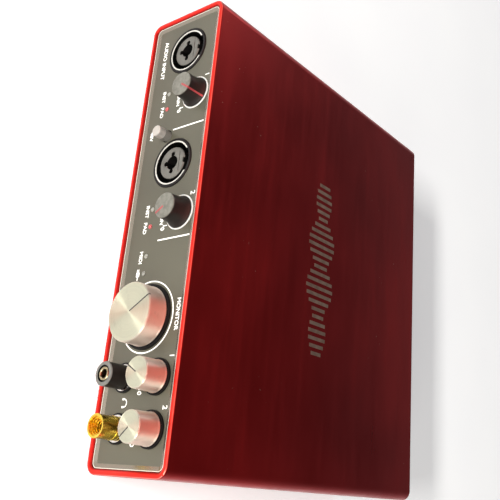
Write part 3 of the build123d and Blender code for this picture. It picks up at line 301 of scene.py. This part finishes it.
def milky(name, colour, rough, through=0.35, glow=0.0):
    """Translucent plastic, as over a light guide."""
    made = Finish(
        name, IOR=1.49, Subsurface_Weight=0.5, Subsurface_Scale=1.2 * MM,
        Subsurface_Radius=(1.0, 0.8, 0.7), Transmission_Weight=through,
    )
    cloud = made.span(made.noise(600.0, 3.0), 0.3, 0.7, 0.0, 1.0)
    made.set(
        Base_Color=made.mix(cloud, tuple(channel * 0.88 for channel in colour), colour),
        Roughness=made.span(made.noise(1500.0, 3.0), 0.3, 0.7, *rough),
    )
    if glow:
        made.set(Emission_Color=(*colour, 1.0), Emission_Strength=glow)
    made.bump(made.noise(2200.0, 2.0), 0.05, 0.03 * MM, 0.12 * MM)
    return made


def bordered_panel():
    """Fine matt metal paint, smoother and more reflective on the sloping border."""
    made = moulded(
        "grey_panel", (0.066, 0.063, 0.046), (0.086, 0.081, 0.058), (0.36, 0.46),
        grain=3800.0, relief=0.07, patch=14.0, edge=0.15,
    )
    flat = made.facing(FORWARD, 0.955, 0.985)
    colour = made.mix(flat, (0.24, 0.215, 0.175), made.feeder())
    # the narrow ridge that touches the rim is painted pale: a painted highlight
    ridge_highlight = made.span(made.axis("Y"), PANEL_EDGE + 0.03 * MM, PANEL_EDGE + 0.10 * MM, 1.0, 0.0)
    colour = made.mix(ridge_highlight, colour, (0.72, 0.62, 0.54))
    made.set(
        Base_Color=colour,
        Metallic=made.span(flat, 0.0, 1.0, 0.8, 0.25),
        Roughness=made.mix_value(flat, 0.22, made.feeder("Roughness")),
    )
    return made


def circuit_board():
    """Green lacquer over a grid of tracks."""
    made = moulded("circuit_board", (0.010, 0.075, 0.030), (0.018, 0.120, 0.048), (0.25, 0.4))
    tracks = made.node(
        "ShaderNodeTexBrick", Vector=made.place, Scale=220.0, Mortar_Size=0.03,
        Color1=(0.012, 0.09, 0.035, 1), Color2=(0.016, 0.11, 0.045, 1),
        Mortar=(0.05, 0.2, 0.07, 1),
    )
    made.set(Base_Color=made.mix(0.6, made.feeder(), tracks.outputs["Color"]))
    return made


def banded_plug(name, metal):
    """Plated plug with black insulating bands between its contacts."""
    made = plated(name, tuple(channel * 0.8 for channel in metal), metal)
    reach = made.math("MULTIPLY", made.math("SUBTRACT", made.axis("Y"), PLUG_ROOT), 1.0 / MM)
    rings = 0.0
    for near, far in PLUG_BANDS:
        inside = made.math(
            "MULTIPLY",
            made.math("GREATER_THAN", reach, near),
            made.math("LESS_THAN", reach, far),
        )
        rings = made.math("ADD", rings, inside)
    made.set(
        Base_Color=made.mix(rings, made.feeder(), (0.01, 0.01, 0.01)),
        Metallic=made.math("SUBTRACT", 1.0, rings),
    )
    return made


def darken_behind(made, level, deep_colour, blend=0.25):
    """From the level backwards, towards the rear, the piece takes the deep colour."""
    share = made.span(made.axis("Y"), level, level + blend * MM, 0.0, 1.0)
    made.set(Base_Color=made.mix(share, made.feeder(), deep_colour))


def middle(node):
    low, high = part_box(node)
    return (low + high) / 2


def socket_insert(node, name):
    """Grey insert: its bore, its contact holes and its side below the bevel are painted black as
    painted shade.
    """
    made = moulded(name, (0.064, 0.061, 0.053), (0.102, 0.097, 0.086), (0.34, 0.48), patch=170.0)
    grey_depth = made.span(
        made.radius_from(middle(node)), INSERT_RIM, INSERT_RIM + 0.1 * MM,
        INSERT_FACE, INSERT_BEVEL,
    )
    depth = made.math("SUBTRACT", made.axis("Y"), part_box(node)[0].y)
    # deeper than the grey, the insert is painted black: painted shade
    deep = made.math("GREATER_THAN", depth, grey_depth)
    made.set(Base_Color=made.mix(deep, made.feeder(), SOCKET_SHADE))
    return made


def earth_ring(node, name):
    """Only the ring's front edge is bright; inside the socket it is painted black, a painted
    shade.
    """
    made = moulded(
        name, (0.42, 0.41, 0.37), (0.60, 0.585, 0.54), (0.22, 0.38),
        relief=0.04, edge=0.05, Metallic=0.3,
    )
    darken_behind(made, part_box(node)[0].y + 0.12 * MM, SOCKET_SHADE, 0.1)
    return made


def light_ring(node, name):
    """Milky ring that is bright only along its outer edge."""
    made = milky(name, (0.62, 0.60, 0.57), (0.15, 0.3), through=0.1)
    low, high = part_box(node)
    outer = (high.x - low.x) / 2
    bright = made.span(
        made.radius_from(middle(node)), outer - 0.62 * MM, outer - 0.45 * MM, 0.0, 1.0
    )
    made.set(Base_Color=made.mix(bright, (0.10, 0.095, 0.09), made.feeder()))
    return made


def gain_plastic(node, name):
    """Black knob whose face is grey."""
    made = moulded(
        name, (0.085, 0.082, 0.068), (0.150, 0.145, 0.124), (0.36, 0.5),
        patch=480.0, Specular_IOR_Level=0.35,
    )
    darken_behind(made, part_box(node)[0].y + 0.25 * MM, (0.010, 0.008, 0.007), 0.5)
    return made


def adapter_plastic(node, name):
    """Black barrel with a grey face; the recess around its liner is painted black as painted
    shade.
    """
    made = moulded(
        name, (0.085, 0.082, 0.074), (0.130, 0.126, 0.116), (0.3, 0.45),
        patch=300.0, Specular_IOR_Level=0.35,
    )
    darken_behind(made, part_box(node)[0].y + 0.45 * MM, (0.010, 0.008, 0.007))
    mouth_shade = made.span(
        made.radius_from(middle(node)), MOUTH_RADIUS, MOUTH_RADIUS + 0.06 * MM, 1.0, 0.0
    )
    made.set(Base_Color=made.mix(mouth_shade, made.feeder(), (0.006, 0.006, 0.006)))
    return made


def dress(finish, *nodes):
    """Give nodes of the CAD model one finish."""
    for node in nodes:
        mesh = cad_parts[node].data
        mesh.materials.clear()
        mesh.materials.append(finish.material)


case_finish = red_case()
panel_finish = bordered_panel()
rear_finish = moulded(
    "rear_panel", (0.018, 0.018, 0.018), (0.028, 0.027, 0.026), (0.38, 0.5), patch=40.0,
)
black_plastic = moulded(
    "black_plastic", (0.008, 0.008, 0.008), (0.016, 0.015, 0.014), (0.3, 0.45),
)
socket_black = moulded(
    "socket_black", (0.002, 0.002, 0.002), (0.005, 0.004, 0.004), (0.45, 0.6),
    relief=0.02, edge=0.05, Specular_IOR_Level=0.25,
)
collar_black = moulded(
    "collar_black", (0.003, 0.003, 0.003), (0.007, 0.006, 0.006), (0.35, 0.55),
    Specular_IOR_Level=0.12,
)
# the button's stem is painted a darker grey than its cap: painted shade on the button's side
shaded_stem_grey = moulded("shaded_stem_grey", (0.13, 0.125, 0.11), (0.17, 0.16, 0.145), (0.35, 0.5))
rubber = moulded("rubber", (0.012, 0.012, 0.012), (0.022, 0.021, 0.02), (0.7, 0.9), relief=0.3)
ribbon = moulded("ribbon", (0.32, 0.32, 0.34), (0.42, 0.42, 0.44), (0.45, 0.6))
pointer_black = moulded("pointer_black", (0.02, 0.018, 0.014), (0.035, 0.03, 0.024), (0.5, 0.7))
pointer_red = moulded("pointer_red", (0.22, 0.030, 0.033), (0.31, 0.047, 0.049), (0.35, 0.5))
nickel = plated("nickel", (0.52, 0.51, 0.49), (0.80, 0.79, 0.76))
gold = plated("gold", (0.60, 0.41, 0.045), (0.92, 0.68, 0.11), (0.16, 0.30))
dull_brass = plated("dull_brass", (0.26, 0.21, 0.12), (0.50, 0.43, 0.27), (0.2, 0.36))
black_steel = plated("black_steel", (0.03, 0.03, 0.03), (0.06, 0.06, 0.06), (0.3, 0.45))
clear_lens = milky("clear_lens", (0.34, 0.33, 0.29), (0.2, 0.35))
red_lens = milky("red_lens", (0.55, 0.10, 0.10), (0.2, 0.35), glow=0.05)
cap = milky("button_cap", (0.36, 0.33, 0.30), (0.35, 0.5), through=0.05)
board = circuit_board()

dress(case_finish, "case_sleeve")
dress(panel_finish, "front_panel")
dress(rear_finish, "rear_panel")
dress(rubber, "rubber_feet")
dress(black_steel, "rear_panel_screws")
dress(board, "main_board", "front_board")
dress(ribbon, "ribbon_cable")
dress(black_plastic, "capacitors", "chips", "phantom_switch", "line_jacks", "line_jack_nuts",
      "midi_sockets", "midi_cores", "dc_inlet", "power_switch_frame", "power_rocker")
dress(collar_black, "monitor_collar", "phones_collars", "phones_jack_nuts")
dress(nickel, "potentiometers", "usb_socket", "monitor_shaft", "phones_1_jack", "phones_2_jack")
dress(gold, "gold_adapter_barrel", "gold_adapter_liner", "coax_sockets", "input_contacts")
dress(dull_brass, "black_adapter_liner")
dress(clear_lens, "clear_led_lenses")
dress(red_lens, "red_led_lenses")
dress(cap, "phantom_button_cap")
dress(shaded_stem_grey, "phantom_button_stem")
dress(pointer_black, "monitor_pointer", "phones_1_pointer", "phones_2_pointer")
for number in (1, 2):
    dress(socket_black, f"input_{number}_shell")
    for node, name, make in (
        (f"input_{number}_insert", f"insert_{number}", socket_insert),
        (f"input_{number}_earth_ring", f"earth_ring_{number}", earth_ring),
        (f"gain_{number}_halo", f"halo_{number}", light_ring),
        (f"gain_{number}_knob", f"gain_knob_{number}", gain_plastic),
    ):
        dress(make(node, name), node)
    dress(nickel, f"gain_{number}_shaft", f"phones_{number}_shaft")
    dress(pointer_red, f"gain_{number}_pointer")
for name in ("monitor", "phones_1", "phones_2"):
    dress(spun_metal(f"spun_{name}", middle(f"{name}_knob")), f"{name}_knob")
dress(adapter_plastic("black_adapter_barrel", "adapter_black"), "black_adapter_barrel")
dress(banded_plug("nickel_plug", (0.80, 0.79, 0.76)), "black_adapter_plug")
dress(banded_plug("gold_plug", (0.95, 0.62, 0.16)), "gold_adapter_plug")


# ---------------------------------------------------------------- printed legends
INK = 0.03 * MM                 # height of the print
CAPITAL_SHARE = 0.7             # capital height of the font, as a share of its size
ARC_STEPS = 48


def front_place(place):
    """Matrix from the printing plane to a place on the front panel."""
    spot = Vector((CASE_LOW.x + place[0] * MM, PANEL_FACE, CASE_LOW.z + place[1] * MM))
    return Matrix.Translation(spot) @ Matrix.Rotation(math.radians(90), 4, "X")


def rear_place(place):
    """The same for the rear panel."""
    spot = Vector((CASE_LOW.x + place[0] * MM, REAR_FACE, CASE_LOW.z + place[1] * MM))
    return (
        Matrix.Translation(spot)
        @ Matrix.Rotation(math.radians(180), 4, "Z")
        @ Matrix.Rotation(math.radians(90), 4, "X")
    )


def top_place(place):
    """The same for the lid; the place is (across, back from the front edge)."""
    spot = Vector((CASE_LOW.x + place[0] * MM, CASE_LOW.y + place[1] * MM, CASE_HIGH.z))
    return Matrix.Translation(spot)


def add_strip(shape, points, width):
    """A thin raised strip along points, in millimetres on the printing plane."""
    outline = []
    for index, point in enumerate(points):
        before = points[max(index - 1, 0)]
        after = points[min(index + 1, len(points) - 1)]
        along = (Vector(after) - Vector(before)).normalized()
        side = Vector((-along.y, along.x)) * width / 2
        corners = []
        for sign, height in ((1, 0), (1, 1), (-1, 1), (-1, 0)):
            spot = Vector(point) + side * sign
            corners.append(shape.verts.new((spot.x * MM, spot.y * MM, height * INK)))
        outline.append(corners)
    for first, second in zip(outline, outline[1:]):
        for corner in range(4):
            after = (corner + 1) % 4
            shape.faces.new((first[corner], first[after], second[after], second[corner]))
    shape.faces.new(outline[0])
    shape.faces.new(list(reversed(outline[-1])))


def arc(radius, start, end):
    """Points on an arc; angles in degrees clockwise from the top."""
    sweep = end - start
    turns = [math.radians(start + sweep * step / ARC_STEPS) for step in range(ARC_STEPS + 1)]
    return [(radius * math.sin(turn), radius * math.cos(turn)) for turn in turns]


def add_mark(name, data, place, finish):
    """Put a printed mark on the case."""
    made = bpy.data.objects.new(name, data)
    bpy.context.scene.collection.objects.link(made)
    made.matrix_world = place
    data.materials.clear()
    data.materials.append(finish.material)
    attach(made, "chassis")


def strips(name, place, lines, finish):
    """One printed mark made of (points, width) strips."""
    shape = bmesh.new()
    for points, width in lines:
        add_strip(shape, points, width)
    bmesh.ops.recalc_face_normals(shape, faces=shape.faces)
    data = bpy.data.meshes.new(name)
    shape.to_mesh(data)
    shape.free()
    add_mark(name, data, place, finish)


def words(name, text, place, height, finish, bold):
    """Plain lettering centred on its place; capital height and added boldness in millimetres."""
    curve = bpy.data.curves.new(name, "FONT")
    curve.body = text
    curve.size = height * MM / CAPITAL_SHARE
    curve.align_x, curve.align_y = "CENTER", "CENTER"
    curve.extrude = INK
    curve.offset = bold * MM
    curve.resolution_u = 4
    holder = bpy.data.objects.new(name, curve)
    bpy.context.scene.collection.objects.link(holder)
    bpy.context.view_layer.update()
    graph = bpy.context.evaluated_depsgraph_get()
    data = bpy.data.meshes.new_from_object(holder.evaluated_get(graph))
    bpy.data.objects.remove(holder)
    add_mark(name, data, place, finish)


white_ink = moulded("white_ink", (0.80, 0.79, 0.74), (0.93, 0.92, 0.88), (0.4, 0.55), relief=0.05)
foil = plated("foil", (0.42, 0.33, 0.24), (0.62, 0.52, 0.40), (0.32, 0.5))

MONITOR = (147.4, 22.35)        # middle of the monitor knob
CAPITALS = 2.0                  # capital heights on the front panel, in millimetres
FIGURES = 2.5

divider = [([(0, 22.2), (0, 41.2)], 0.6)]
for number, left in enumerate((61.4, 114.2), start=1):
    strips(f"divider_{number}", front_place((left, 0)), divider, white_ink)
strips("monitor_scale", front_place(MONITOR), [(arc(15.0, -136, 136), 0.55)], white_ink)
# front panel: words, place and capital height
for number, (label, place, height) in enumerate((
    ("1", (37.8, 39.8), FIGURES), ("2", (95.3, 40.0), FIGURES),
    ("1", (164.1, 39.8), FIGURES), ("2", (183.9, 39.5), FIGURES),
    ("1", (51.1, 25.4), FIGURES), ("0", (52.4, 24.2), 2.2),
    ("1", (108.0, 25.4), FIGURES), ("0", (109.3, 24.1), 2.2),
    ("1", (176.9, 24.2), FIGURES), ("0", (178.3, 23.8), 2.2),
    ("1", (196.6, 24.0), FIGURES), ("0", (198.0, 23.6), 2.2),
    ("GAIN", (46.2, 23.0), CAPITALS), ("GAIN", (103.9, 23.0), CAPITALS),
    ("INST", (42.2, 12.8), CAPITALS), ("PAD", (50.3, 12.8), CAPITALS),
    ("INST", (99.6, 12.9), CAPITALS), ("PAD", (107.3, 12.8), CAPITALS),
    ("48V", (61.6, 8.1), CAPITALS), ("MIDI", (120.8, 12.9), CAPITALS),
    ("MONITOR", (147.5, 40.0), CAPITALS), ("AUDIO INPUT", (21.3, 9.4), 2.3),
), start=1):
    words(f"legend_{number}", label, front_place(place), height, white_ink, bold=0.045)

headphones = [(arc(1.6, -100, 100), 0.42)]
headphones += [([(side * 1.55, 0.1), (side * 1.55, -1.1)], 0.85) for side in (-1, 1)]
strips("headphone_sign", front_place((182.1, 15.6)), headphones, white_ink)
plug_sign = [
    ([(-2.4, 0.4), (-0.9, 0.4)], 0.45), ([(-2.4, -0.5), (-0.9, -0.5)], 0.45),
    ([(-0.9, 0.0), (1.0, 0.0)], 2.0), ([(1.0, 0.0), (2.6, 0.0)], 0.6),
]
strips("plug_sign", front_place((128.4, 12.6)), plug_sign, white_ink)

# the mark on the lid: a plain sound wave drawn as upright bars
WAVE_BARS = 25
WAVE_LENGTH = 86.0
WAVE_HEIGHT = 23.0
BAR_WIDTH = 1.7
BAR_HALF_LEAST = 1.2
bars = []
for index in range(WAVE_BARS):
    at = index / (WAVE_BARS - 1)
    swell = 0.45 + 0.55 * math.sin(math.pi * at)
    beat = 0.40 + 0.60 * abs(math.sin(at * 3.5 * math.pi + 0.9))
    half = max(BAR_HALF_LEAST, WAVE_HEIGHT / 2 * swell * beat)
    left = (at - 0.5) * WAVE_LENGTH
    bars.append(([(left, -half), (left, half)], BAR_WIDTH))
strips("lid_mark", top_place((105.0, 88.0)), bars, foil)

# rear panel: the same
for number, (label, place, height) in enumerate((
    ("4", (193.5, 27.5), 2.2), ("3", (178.5, 27.5), 2.2), ("4", (163.5, 27.5), 2.2),
    ("3", (148.5, 27.5), 2.2), ("2", (133.5, 27.5), 2.2), ("1", (118.5, 27.5), 2.2),
    ("LINE IN", (186.0, 33.0), 2.4), ("LINE OUT", (141.0, 33.0), 2.4),
    ("OUT", (87.5, 30.5), 2.2), ("IN", (65.0, 30.5), 2.2), ("MIDI", (76.2, 35.0), 2.4),
    ("USB", (45.5, 23.0), 2.2), ("DIGITAL", (105.0, 40.0), 1.8),
    ("12V DC", (15.0, 21.5), 2.0),
), start=1):
    words(f"rear_legend_{number}", label, rear_place(place), height, white_ink, bold=0.02)

# ---------------------------------------------------------------- stage, lights and camera
FLOOR_HALF = 3.0
floor_shape = bmesh.new()
bmesh.ops.create_grid(floor_shape, x_segments=2, y_segments=2, size=FLOOR_HALF)
floor_data = bpy.data.meshes.new("floor")
floor_shape.to_mesh(floor_data)
floor_shape.free()
floor = bpy.data.objects.new("floor", floor_data)
bpy.context.scene.collection.objects.link(floor)
# pale paper, which gives off a little light of its own so that it stays white
floor_finish = Finish("floor", Roughness=0.75)
paper = floor_finish.span(floor_finish.noise(14.0, 3.0), 0.3, 0.7, 0.0, 1.0)
floor_finish.set(
    Base_Color=floor_finish.mix(paper, (0.80, 0.80, 0.81), (0.84, 0.84, 0.84)),
    Emission_Color=(1.0, 1.0, 1.0, 1.0), Emission_Strength=0.36,
)
floor_data.materials.append(floor_finish.material)


def softbox(name, place, size, power, colour=(1, 1, 1), diffuse=True, glossy=True):
    """Rectangular studio light aimed at the case; matt or mirrored light can leave it out."""
    data = bpy.data.lights.new(name, "AREA")
    data.shape = "RECTANGLE"
    data.size, data.size_y = size
    data.energy = power
    data.color = colour
    made = bpy.data.objects.new(name, data)
    made.location = place
    made.rotation_euler = (CASE_MIDDLE - Vector(place)).to_track_quat("-Z", "Y").to_euler()
    made.visible_diffuse = diffuse
    made.visible_glossy = glossy
    bpy.context.scene.collection.objects.link(made)


softbox("key", (1.00, -1.00, 0.45), (0.70, 0.55), 11.0, (1.0, 0.99, 0.90))
softbox("front", (0.10, -1.40, 0.60), (0.50, 0.10), 36.0, (1.0, 0.99, 0.96), glossy=False)
softbox("front_card", (0.08, -1.20, 0.08), (0.35, 0.15), 1.0, (1.0, 0.93, 0.92), diffuse=False)
softbox("left_wall", (-1.3, 0.5, 0.75), (0.9, 0.5), 4.0)
# the coral band on the sides of the silver knobs
softbox("warm_card", (0.0, -0.50, 0.80), (2.0, 0.8), 11.0, (1.0, 0.20, 0.14), diffuse=False)

# the studio around: pale near the horizon, dark overhead
SKY_STOPS = ((0.10, (0.60, 0.61, 0.63, 1.0)), (0.45, (0.085, 0.085, 0.09, 1.0)))
world = bpy.data.worlds.new("studio")
world.use_nodes = True
sky = world.node_tree
direction = sky.nodes.new("ShaderNodeTexCoord").outputs["Generated"]
height = sky.nodes.new("ShaderNodeSeparateXYZ")
sky.links.new(direction, height.inputs[0])
fade = sky.nodes.new("ShaderNodeValToRGB")
for element, (position, colour) in zip(fade.color_ramp.elements, SKY_STOPS):
    element.position = position
    element.color = colour
sky.links.new(height.outputs["Z"], fade.inputs["Fac"])
sky.links.new(fade.outputs["Color"], sky.nodes["Background"].inputs["Color"])
sky.nodes["Background"].inputs["Strength"].default_value = 1.0
bpy.context.scene.world = world
bpy.context.scene.view_settings.view_transform = "Standard"

# the photograph's camera, solved from the corners of the case
CAMERA_PLACE = Vector((106.43, -290.27, 257.53)) * MM
CAMERA_TURN = (14.926, -52.213, 96.817)
CAMERA_LENS = 53.66
CAMERA_SHIFT = (-0.0702, -0.0640)
camera_data = bpy.data.cameras.new("camera")
camera_data.lens = CAMERA_LENS
camera_data.shift_x, camera_data.shift_y = CAMERA_SHIFT
camera_data.clip_start = 0.01
camera = bpy.data.objects.new("camera", camera_data)
camera.location = CAMERA_PLACE
camera.rotation_euler = Euler([math.radians(turn) for turn in CAMERA_TURN], "XYZ")
bpy.context.scene.collection.objects.link(camera)
bpy.context.scene.camera = camera
